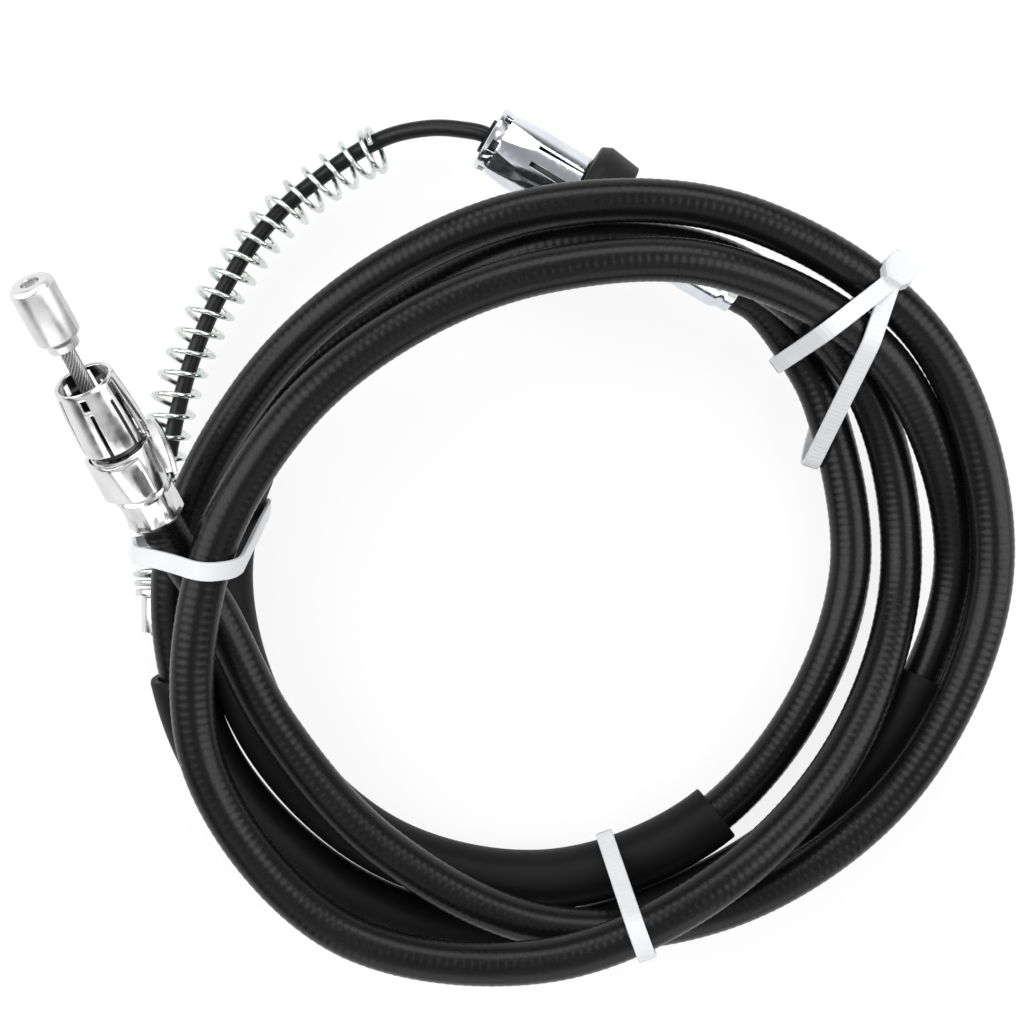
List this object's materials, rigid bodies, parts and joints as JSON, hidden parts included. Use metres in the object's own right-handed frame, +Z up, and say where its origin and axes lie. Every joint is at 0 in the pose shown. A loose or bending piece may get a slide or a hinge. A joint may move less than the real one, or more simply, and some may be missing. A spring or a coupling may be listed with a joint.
{
  "type": "parking brake cable",
  "caption": "Ribbed black parking brake cable coiled in a tied hank, with a barrel-ended strand, snap-in plated fittings, guard sleeves and a sprung coated strand.",
  "frame": {"origin": "centre of the bounding box's bottom face, on the floor that the tied coil lies on", "axes": "+Z up, off the floor; +X to the right and +Y away from the viewer in the pictured top view"},
  "size_m": [0.2283, 0.215, 0.083],
  "materials": {
    "jacket": "extruded, finely ribbed across, faint sheen",
    "guard_rubber": "smooth matte extruded sleeve",
    "boot_rubber": "moulded, matte",
    "coating": "thin extruded coating over stranded wire",
    "zinc_steel": "bright zinc plate with a faint blue tint",
    "strand_steel": "bare galvanised wire",
    "spring_steel": "zinc-plated spring wire",
    "liner_plastic": "translucent drawn tube",
    "tie_nylon": "natural moulded nylon, slightly translucent"
  },
  "bodies": {
    "cable": {"conduit": "jacket", "guard_sleeve_1": "guard_rubber", "guard_sleeve_2": "guard_rubber", "ferrule_a": "zinc_steel", "fitting_body_a": "zinc_steel", "wiper_seal_a": "boot_rubber", "split_clip_a": "zinc_steel", "finger_sleeve_a": "zinc_steel", "armour_end_a": "strand_steel", "liner_end_a": "liner_plastic", "rear_ferrule_b": "zinc_steel", "fitting_body_b": "zinc_steel", "dust_boot_b": "boot_rubber", "finger_nose_b": "zinc_steel", "mouth_seal_b": "boot_rubber", "armour_end_b": "strand_steel", "liner_end_b": "liner_plastic", "coated_strand_b": "coating", "return_spring_b": "spring_steel", "spring_cup_b": "zinc_steel", "end_button_b": "zinc_steel", "cable_tie_1": "tie_nylon", "cable_tie_2": "tie_nylon", "cable_tie_3": "tie_nylon"},
    "strand": {"barrel_end_a": "zinc_steel", "strand_a": "strand_steel"}
  },
  "joints": [
    {"name": "strand_slide", "type": "slide", "parent": "cable", "child": "strand", "axis": [-0.2833, 0.7578, 0.5878], "range_m": [-0.008, 0.035]}
  ]
}
